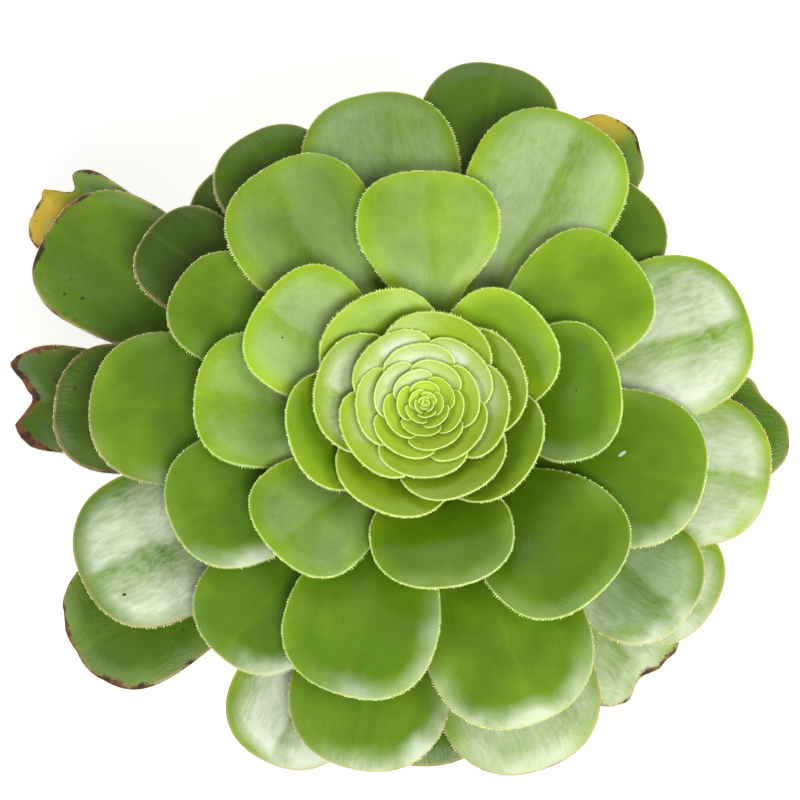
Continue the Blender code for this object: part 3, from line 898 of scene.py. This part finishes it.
def make_crumb_tree(earth):
    """The tree that roughens the soil's top and scatters crumbs on it."""
    inputs = dict.fromkeys(("Crumbs", "Crumb radius", "Level"), "Float")
    sheet, given = new_geometry_sheet("soil crumbs", inputs)
    _, _, height = sheet.split(sheet.node("GeometryNodeInputPosition"))
    _, _, facing = sheet.split(sheet.node("GeometryNodeInputNormal"))
    top = sheet.math("GREATER_THAN", height, given["Level"]) * sheet.math("GREATER_THAN", facing, 0.5)
    lumps = sheet.noise(sheet.node("GeometryNodeInputPosition"), 260.0, 4.0, 0.6) - 0.5
    lift = sheet.vector(0.0, 0.0, lumps * SOIL_LUMPS)
    rough = sheet.node("GeometryNodeSetPosition", None, {
        "Geometry": given["Geometry"], "Selection": top, "Offset": lift})
    points = sheet.node("GeometryNodeDistributePointsOnFaces", None, {
        "Mesh": rough, "Selection": top, "Density": given["Crumbs"], "Seed": SOIL_SEED})
    lump = sheet.node("GeometryNodeMeshIcoSphere", None, {"Radius": 1.0, "Subdivisions": 1})
    jolt = random_vector(sheet, (-CRUMB_JOLT,) * 3, (CRUMB_JOLT,) * 3, SOIL_SEED)
    lump = sheet.node("GeometryNodeSetPosition", None, {"Geometry": lump, "Offset": jolt})
    spin = random_vector(sheet, (0.0, 0.0, 0.0), (math.tau,) * 3, SOIL_SEED + 1)
    share = random_number(sheet, 0.0, 1.0, SOIL_SEED + 2)
    size = given["Crumb radius"] * (SMALLEST_CRUMB + (1 - SMALLEST_CRUMB) * share ** 3)
    tinted = store_attribute(sheet, points, "tint", "FLOAT", random_number(sheet, 0.0, 1.0, SOIL_SEED + 3))
    scale = sheet.vector(size, size, size * CRUMB_FLATNESS)
    crumbs = sheet.node("GeometryNodeInstanceOnPoints", None, {
        "Points": tinted, "Instance": lump, "Rotation": spin, "Scale": scale})
    both = sheet.node("GeometryNodeJoinGeometry", None, {0: [rough, crumbs]})
    close_geometry_sheet(sheet, both, [(earth, None)])
    return sheet.tree


def blade_tree(look):
    """The blade tree, made once for all leaves."""
    if BLADE_TREE not in bpy.data.node_groups:
        make_blade_tree(make_leaf_flesh(look), make_fringe_look(look))
    return bpy.data.node_groups[BLADE_TREE]


def leaf_settings(number, reach, width, turn, look, grid):
    """The blade tree's inputs for one leaf."""
    arc, length = midrib(number, reach)
    shoulder, roundness = outline(number, width, length)
    bites = [*BITES.get(number, ()), NO_BITE, NO_BITE]
    brown = BROWN.get(number, 0.0)
    worn = held((number - WORN_FROM) / WORN_SPAN)
    size = min(1.0, max(SMALLEST, 1 + number / SHRINK_SPAN))
    grown = number >= GROWN_FROM
    # Painted shade on the heart's leaves that turn away from the light
    away = max(0.0, math.cos(math.radians(turn + HEART_SHADE_TURN)))
    shade = 0.0 if grown else HEART_SHADE * away * held(1 + number / HEART_SHADE_SPAN)
    # How strong the painted rim highlights are, and the turn of the light that they face
    rim_highlight = RIM_HIGHLIGHTS.get(number, PLAIN_RIM_HIGHLIGHT if grown else 0.0)
    lit_turn = math.radians(turn + SHEEN_TURN)
    draw = random.Random(number + FIRST_SEED)
    return {
        "Columns": grid[0], "Rows": grid[1], **arc, "Shoulder": shoulder, "Roundness": roundness,
        "Swell": NECKS.get(number, SWELL), "Width": width, "Turn": math.radians(turn),
        "Thickness": look.thickness * size, "Rim": look.rim_thickness * max(size, SMALLEST_RIM),
        "Flesh": FLESH_WIDTH * size, "Curl": CURLS.get(number, 0.0), "Valley": VALLEY if grown else 0.0,
        "Dent": DENT * size * size, "Roll": ROLL * held((number - ROLL_FROM) / ROLL_SPAN),
        "Wave": (WAVE + OLD_WAVE * worn) * size, "Phase": draw.uniform(0, math.tau),
        "Ragged": RAGGED * brown ** 2, "Bite 1": bites[0], "Bite 2": bites[1],
        "Look": ((number + YOUNGEST) / AGE_SPAN, BLOOM_AND_SHEEN.get(number, 0.0), PAINTED_SHADE_AND_TONE.get(number, shade)),
        "Wear": (brown, SPECKS.get(number, 0.0), YELLOW.get(number, 0.0)),
        "Fleck": FLECKS.get(number, NO_FLECK), "Sheen": (rim_highlight, math.cos(lit_turn), math.sin(lit_turn)),
        "Fringe pitch": look.fringe_pitch * max(size, CLOSEST_HAIRS),
        "Fringe length": look.fringe_length * max(size, SMALLEST_HAIR), "Seed": number + FIRST_SEED,
    }


def colour_setting(name, description, *parts):
    """A colour that a user may change."""
    return FloatVectorProperty(
        name=name, description=description, default=parts, min=0, max=1, subtype="COLOR")


def length_setting(name, description, default, low, high):
    """A length that a user may change, given in millimetres."""
    return FloatProperty(
        name=name, description=description, default=default * MM, min=low * MM, max=high * MM, unit="LENGTH",
        subtype="DISTANCE", precision=4)


class AeoniumLeaves(bpy.types.PropertyGroup):
    """Sizes and colours of the leaves."""

    thickness: length_setting("Thickness", "Thickness of a leaf's fleshy middle", 1.7, 0.6, 4)
    rim_thickness: length_setting("Rim thickness", "Thickness of a leaf's rounded rim", 0.8, 0.3, 2)
    fringe_pitch: length_setting("Fringe pitch", "Distance from one rim hair to the next", 0.85, 0.3, 5)
    fringe_length: length_setting("Fringe length", "Length of the longer rim hairs", 0.75, 0.1, 3)
    heart: colour_setting("Heart green", "Colour of the smallest leaves", 0.62, 0.80, 0.10)
    young: colour_setting("Young green", "Colour of the leaves round the heart", 0.33, 0.50, 0.02)
    grown: colour_setting("Grown green", "Colour of the full grown leaves", 0.105, 0.235, 0.003)
    old: colour_setting("Old green", "Colour of the oldest leaves", 0.10, 0.205, 0.010)
    rim_zone: colour_setting("Rim zone", "Yellower green of the flesh near the rim", 0.32, 0.49, 0.015)
    rim: colour_setting("Rim line", "Colour of the thin pale rim", 0.62, 0.76, 0.20)
    old_rim: colour_setting("Old rim", "Tan or pinkish rim of the older leaves", 0.57, 0.37, 0.19)
    # The bloom colour is also painted over the leaves as sheen, a painted reflection of the light
    bloom: colour_setting("Bloom", "Colour of the waxy bloom", 0.60, 0.67, 0.51)
    underside: colour_setting("Underside", "Paler colour of a leaf's underside", 0.24, 0.36, 0.10)
    faded: colour_setting("Faded yellow", "Colour of a dying leaf's tip", 0.60, 0.42, 0.04)
    scorch: colour_setting("Scorched rim", "Red-brown of a worn rim", 0.19, 0.06, 0.025)
    dead: colour_setting("Dead tissue", "Dark brown of specks and dead tips", 0.04, 0.018, 0.012)
    hair: colour_setting("Rim hairs", "Colour of the fringe of hairs", 0.80, 0.86, 0.50)


class AeoniumPot(bpy.types.PropertyGroup):
    """Sizes and colours of the stem, the soil and the pot."""

    height: FloatProperty(
        name="Pot height", description="Height of the pot", default=POT_HEIGHT,
        min=40 * MM, max=400 * MM, unit="LENGTH", subtype="DISTANCE")
    relief: length_setting("Scar relief", "How far the leaf scars stand out from the stem", 0.45, 0, 2)
    crumbs: IntProperty(
        name="Crumbs", description="Number of crumbs a square metre of soil", default=260000, min=0,
        max=2000000)
    crumb: length_setting("Crumb size", "Radius of the larger crumbs", 1.3, 0.2, 5)
    bark: colour_setting("Bark", "Main colour of the bark", 0.20, 0.14, 0.08)
    bark_pale: colour_setting("Pale bark", "Colour of the raised scars", 0.36, 0.29, 0.19)
    bark_dark: colour_setting("Dark bark", "Colour of the cracks", 0.07, 0.045, 0.025)
    earth: colour_setting("Earth", "Main colour of the soil", 0.045, 0.028, 0.018)
    fibre: colour_setting("Fibre", "Colour of the bark and peat crumbs", 0.12, 0.07, 0.035)
    grit: colour_setting("Grit", "Colour of the pale grit in the soil", 0.62, 0.59, 0.52)
    clay: colour_setting("Clay", "Main colour of the pot", 0.52, 0.19, 0.085)
    clay_pale: colour_setting("Pale clay", "Paler clouds in the clay", 0.64, 0.29, 0.15)
    clay_dark: colour_setting("Dark clay", "Darker patches and grit in the clay", 0.33, 0.11, 0.05)
    lime: colour_setting("Lime", "Colour of the lime bloom", 0.74, 0.64, 0.54)


class AeoniumStage(bpy.types.PropertyGroup):
    """The floor, the lights and the camera."""

    elevation: FloatProperty(
        name="Camera elevation", description="Angle of the view above the horizon", default=math.radians(76),
        min=0, max=math.radians(90), unit="ROTATION", subtype="ANGLE")
    distance: FloatProperty(
        name="Camera distance", description="From the lens to the heart", default=0.76, min=0.2, max=5,
        unit="LENGTH", subtype="DISTANCE")
    lens: FloatProperty(
        name="Focal length", description="Focal length on a 36 mm sensor, in millimetres", default=119.7,
        min=20, max=400)
    light: FloatProperty(
        name="Light", description="Strength of the lights, 1 for a pale floor", default=1.0, min=0, max=5)
    floor: colour_setting("Floor", "Colour of the floor", 0.93, 0.93, 0.925)


class AEONIUM_OT_leaves(bpy.types.Operator):
    """Grows every large leaf of the rosette in its place on the spiral"""

    bl_idname = "aeonium.leaves"
    bl_label = "Leaves"

    def execute(self, context):
        look = context.scene.aeonium_leaves
        tree = blade_tree(look)
        for number, (off, reach, width) in LEAVES.items():
            name = f"leaf_{number:02d}"
            slot = "young_leaf" if number < GROWN_FROM else "leaf" if number < OLD_FROM else "old_leaf"
            piece = link_object(f"blade_{number:02d}", bpy.data.meshes.new(name))
            turn = FIRST_TURN + SPIRAL_TURN * number + off
            grid = YOUNG_GRID if number < GROWN_FROM else GROWN_GRID
            settings = leaf_settings(number, reach * MM, width * MM, turn, look, grid)
            finish_piece(run_tree(piece, tree, settings), slot, name)
        return {"FINISHED"}


class AEONIUM_OT_heart(bpy.types.Operator):
    """Grows the small leaves of the heart round the shoot's tip"""

    bl_idname = "aeonium.heart"
    bl_label = "Heart"

    def execute(self, context):
        look = context.scene.aeonium_leaves
        tree = blade_tree(look)
        bud = TOP - HEART_HOLLOW - BUD_DEPTH
        profile = [(0, bud)] + [(radius, bud - depth) for radius, depth in BUD]
        seats = [seat(number) for number in range(-HEART_LEAVES, 0)]
        profile += [(radius * HEART_ROOT + HEART_CORE, height) for radius, height in seats]
        low = seat(0)[1] + SEAT_GAP
        profile += [(seat(0)[0] - SEAT_GAP, low), (0, low)]
        piece = turned("heart_leaves", profile, HEART_CORE_SIDES)
        for number in range(-1, -HEART_LEAVES - 1, -1):
            reach = HEART_REACH * (1 + number / HEART_REACH_LEAVES) ** HEART_REACH_POWER
            turn = FIRST_TURN + HEART_TURN + SPIRAL_TURN * number
            add_tree(piece, tree, leaf_settings(number, reach, 2 * WRAP * reach, turn, look, HEART_GRID))
        settle(piece)
        finish_piece(piece, "young_leaf", "heart")
        return {"FINISHED"}


class AEONIUM_OT_stem(bpy.types.Operator):
    """Turns the bare stem with its spiral leaf scars, and the crown that carries the leaves"""

    bl_idname = "aeonium.stem"
    bl_label = "Stem"

    def execute(self, context):
        look = context.scene.aeonium_pot
        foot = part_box("stem")[0][2]
        crown_low = seat(max(LEAVES) + CROWN_EXTRA)[1]
        profile = [(0, foot)]
        height = foot
        while height < crown_low - STEM_RING:
            swell = max(0.0, 1 - (crown_low - height) / CROWN_TAPER)
            profile.append((STEM_RADIUS + (CROWN_RADIUS - STEM_RADIUS) * swell * swell, height))
            height += STEM_RING
        profile += [seat(number) for number in range(max(LEAVES), -1, -1)]
        profile += [(0, seat(0)[1])]
        piece = turned("scarred_stem", profile[::-1], STEM_SIDES)
        bend_low = SOIL_LEVEL + STEM_CALM
        depths = piece.data.attributes.new("scar", "FLOAT", "POINT")
        for vertex, depth in zip(piece.data.vertices, depths.data):
            x, y, z = vertex.co
            radius = math.hypot(x, y)
            bare = min(max(z - bend_low, 0) / SCAR_FADE, max(crown_low - z, 0) / SCAR_FADE, 1)
            turn = math.atan2(y, x)
            climb = math.tau * z / SCAR_PITCH
            scar = math.cos(3 * turn + climb) * math.cos(5 * turn - climb)
            depth.value = 0.5 + 0.5 * scar
            if radius > MM:
                rough = SCAR_ROUGHNESS * math.sin(41 * turn + 3 * math.sin(z / MM))
                rough *= math.sin(2.1 * z / MM + 2 * math.sin(3 * turn))
                push = look.relief * bare * (scar + rough)
                vertex.co.x += x / radius * push
                vertex.co.y += y / radius * push
            rise = held((z - bend_low) / (crown_low - bend_low))
            shift = 1 - rise * rise * (3 - 2 * rise)
            vertex.co.x += STEM_FOOT[0] * shift
            vertex.co.y += STEM_FOOT[1] * shift
        piece.data.materials.append(make_bark(look))
        finish_piece(piece, "bark", "stem")
        return {"FINISHED"}


class AEONIUM_OT_soil(bpy.types.Operator):
    """Fills the pot with potting mix and scatters crumbs on it"""

    bl_idname = "aeonium.soil"
    bl_label = "Soil"

    def execute(self, context):
        look = context.scene.aeonium_pot
        hole = STEM_RADIUS + SEAT_GAP
        top = inner_radius(SOIL_LEVEL) - SEAT_GAP
        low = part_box("soil")[0][2]
        rings = [hole + (top - hole) * step / SOIL_RINGS for step in range(SOIL_RINGS + 1)]
        profile = [(0, SOIL_LEVEL - HOLE_DEPTH), (hole, SOIL_LEVEL - HOLE_DEPTH)]
        profile += [(radius, SOIL_LEVEL) for radius in rings]
        profile += [(inner_radius(low) - SEAT_GAP, low), (0, low)]
        piece = turned("potting_mix", profile, SOIL_SIDES)
        draw = random.Random(SOIL_SEED)
        turns = (-SOIL_WAVE_TURN, SOIL_WAVE_TURN)
        waves = [
            (draw.uniform(*turns), draw.uniform(*turns), draw.uniform(0, SOIL_WAVE_START))
            for _ in range(SOIL_WAVES)]
        for vertex in piece.data.vertices:
            x, y, z = vertex.co
            radius = math.hypot(x, y)
            if z > SOIL_LEVEL - MM:
                heave = sum(math.sin((a * x + b * y) / MM + c) for a, b, c in waves) / len(waves)
                calm = min(1, (top - radius) / SOIL_CALM) * min(1, (radius - hole) / SOIL_CALM)
                vertex.co.z += SOIL_HEAVE * heave * calm
            if z > low + MM:
                shift = held((top - radius) / (top - hole))
                vertex.co.x += STEM_FOOT[0] * shift
                vertex.co.y += STEM_FOOT[1] * shift
        settings = {"Crumbs": float(look.crumbs), "Crumb radius": look.crumb, "Level": SOIL_LEVEL - SOIL_SKIN}
        finish_piece(run_tree(piece, make_crumb_tree(make_earth(look)), settings), "soil", "soil")
        return {"FINISHED"}


class AEONIUM_OT_pot(bpy.types.Operator):
    """Turns the clay pot, with its rim band, foot and drain holes"""

    bl_idname = "aeonium.pot"
    bl_label = "Pot"

    def execute(self, context):
        look = context.scene.aeonium_pot
        height = look.height
        band = height - POT_RIM_HEIGHT
        mouth = inner_radius(height)
        edge = POT_EDGE
        profile = [(0, POT_FLOOR), (inner_radius(POT_FLOOR) - edge, POT_FLOOR)]
        profile += [(inner_radius(band * share), band * share) for share in (0.12, 0.3, 0.5, 0.7, 0.9)]
        profile += arc_points(mouth + edge, height - edge, edge, 180, 90)
        profile += arc_points(POT_RIM_RADIUS - edge, height - edge, edge, 90, 0)
        profile += [(POT_RIM_RADIUS - RIM_BULGE, band + 0.75 * POT_RIM_HEIGHT)]
        profile += [(POT_RIM_RADIUS, band + 0.5 * POT_RIM_HEIGHT)]
        profile += arc_points(POT_RIM_RADIUS - edge, band + edge, edge, 0, -90)
        profile += [(POT_BODY_RADIUS + BAND_STEP, band), (POT_BODY_RADIUS, band - BAND_STEP)]
        lean = (POT_BODY_RADIUS - POT_BASE_RADIUS) / band
        for share in (0.85, 0.7, 0.55, 0.4, 0.25, 0.1):
            profile.append((POT_BASE_RADIUS + lean * band * share, band * share))
        profile += arc_points(POT_BASE_RADIUS - edge, edge, edge, 0, -90)
        profile += [(0, 0)]
        piece = turned("clay_pot", profile, POT_SIDES)
        drills = []
        high = 2 * POT_FLOOR
        rod_profile = [(0, high), (DRAIN_RADIUS, high), (DRAIN_RADIUS, -POT_FLOOR), (0, -POT_FLOOR)]
        for index in range(DRAIN_HOLES):
            turn = math.tau * index / DRAIN_HOLES + math.pi / 2
            rod = turned(f"drill_{index}", rod_profile, DRILL_SIDES)
            place = (DRAIN_PITCH_RADIUS * math.cos(turn), DRAIN_PITCH_RADIUS * math.sin(turn), 0)
            rod.data.transform(Matrix.Translation(place))
            cut = piece.modifiers.new(f"drain {index}", "BOOLEAN")
            cut.object = rod
            drills.append(rod)
        settle(piece)
        for rod in drills:
            bpy.data.objects.remove(rod)
        for vertex in piece.data.vertices:
            x, y, z = vertex.co
            turn = math.atan2(y, x)
            wobble = 1 + POT_WOBBLES[0] * math.sin(2 * turn + 0.7 + 9 * z)
            wobble += POT_WOBBLES[1] * math.sin(5 * turn + 30 * z)
            if z > 2 * POT_FLOOR or math.hypot(x, y) > inner_radius(POT_FLOOR):
                vertex.co.x *= wobble
                vertex.co.y *= wobble
        piece.data.materials.clear()
        piece.data.materials.append(make_clay(look))
        finish_piece(piece, "terracotta", "pot")
        return {"FINISHED"}


class AEONIUM_OT_stage(bpy.types.Operator):
    """Sets the pale floor, the soft lights and the camera"""

    bl_idname = "aeonium.stage"
    bl_label = "Stage"

    def execute(self, context):
        look = context.scene.aeonium_stage
        scene = context.scene
        floor = turned("floor", [(0, 0), (FLOOR_RADIUS, 0)], FLOOR_SIDES)
        finish = Finish("pale floor", look.floor, **{
            "Emission Color": colour(look.floor), "Emission Strength": FLOOR_GLOW})
        sheet = finish.sheet
        cloud = sheet.noise(finish.place, 3.0, 3.0)
        base = sheet.mix(cloud * 0.5, look.floor, [FLOOR_CLOUDS * part for part in look.floor])
        floor.data.materials.append(finish.join(base, 0.75 + cloud * 0.1, cloud, depth=0.1 * MM))
        world = bpy.data.worlds.new("studio")
        world.use_nodes = True
        sky = world.node_tree.nodes["Background"].inputs
        sky["Color"].default_value = colour(SKY)
        sky["Strength"].default_value = SKY_STRENGTH * look.light
        scene.world = world
        heart = Vector((0, 0, TOP))
        for name, place, size, watts, tone in LIGHTS:
            lamp = bpy.data.lights.new(name, "AREA")
            lamp.shape = "DISK"
            lamp.size = size
            lamp.energy = watts * look.light
            lamp.color = tone
            thing = bpy.data.objects.new(name, lamp)
            thing.location = place
            thing.rotation_euler = (heart - Vector(place)).to_track_quat("-Z", "Y").to_euler()
            scene.collection.objects.link(thing)
        camera = bpy.data.objects.new("camera", bpy.data.cameras.new("camera"))
        camera.data.sensor_width = SENSOR
        camera.data.lens = look.lens
        camera.data.shift_x, camera.data.shift_y = SHIFT
        reach = Vector((0, -math.cos(look.elevation), math.sin(look.elevation)))
        camera.location = heart + look.distance * reach
        camera.rotation_euler = (math.pi / 2 - look.elevation, 0, 0)
        scene.collection.objects.link(camera)
        scene.camera = camera
        scene.view_settings.view_transform = "Standard"
        return {"FINISHED"}


class AEONIUM_PT_panel(bpy.types.Panel):
    """The pieces of the plant, the stage and the settings that they use"""

    bl_idname = "AEONIUM_PT_panel"
    bl_label = "Potted aeonium"
    bl_space_type = "VIEW_3D"
    bl_region_type = "UI"
    bl_category = "Aeonium"

    def draw(self, context):
        for operator in OPERATORS:
            self.layout.operator(operator.bl_idname)
        for group in SETTINGS:
            settings = getattr(context.scene, group)
            box = self.layout.box()
            for name in settings.__annotations__:
                box.prop(settings, name)


OPERATORS = (
    AEONIUM_OT_leaves, AEONIUM_OT_heart, AEONIUM_OT_stem, AEONIUM_OT_soil, AEONIUM_OT_pot, AEONIUM_OT_stage)
SETTINGS = {"aeonium_leaves": AeoniumLeaves, "aeonium_pot": AeoniumPot, "aeonium_stage": AeoniumStage}


def register():
    """Adds the settings, the operators and the panel."""
    for name, group in SETTINGS.items():
        bpy.utils.register_class(group)
        setattr(bpy.types.Scene, name, PointerProperty(type=group))
    for operator in OPERATORS:
        bpy.utils.register_class(operator)
    bpy.utils.register_class(AEONIUM_PT_panel)


def unregister():
    """Takes the panel, the operators and the settings away."""
    bpy.utils.unregister_class(AEONIUM_PT_panel)
    for operator in reversed(OPERATORS):
        bpy.utils.unregister_class(operator)
    for name, group in SETTINGS.items():
        delattr(bpy.types.Scene, name)
        bpy.utils.unregister_class(group)


def main():
    """Builds every piece in order."""
    register()
    bpy.ops.aeonium.stage()
    bpy.ops.aeonium.pot()
    bpy.ops.aeonium.soil()
    bpy.ops.aeonium.stem()
    bpy.ops.aeonium.heart()
    bpy.ops.aeonium.leaves()


if __name__ == "__main__":
    main()
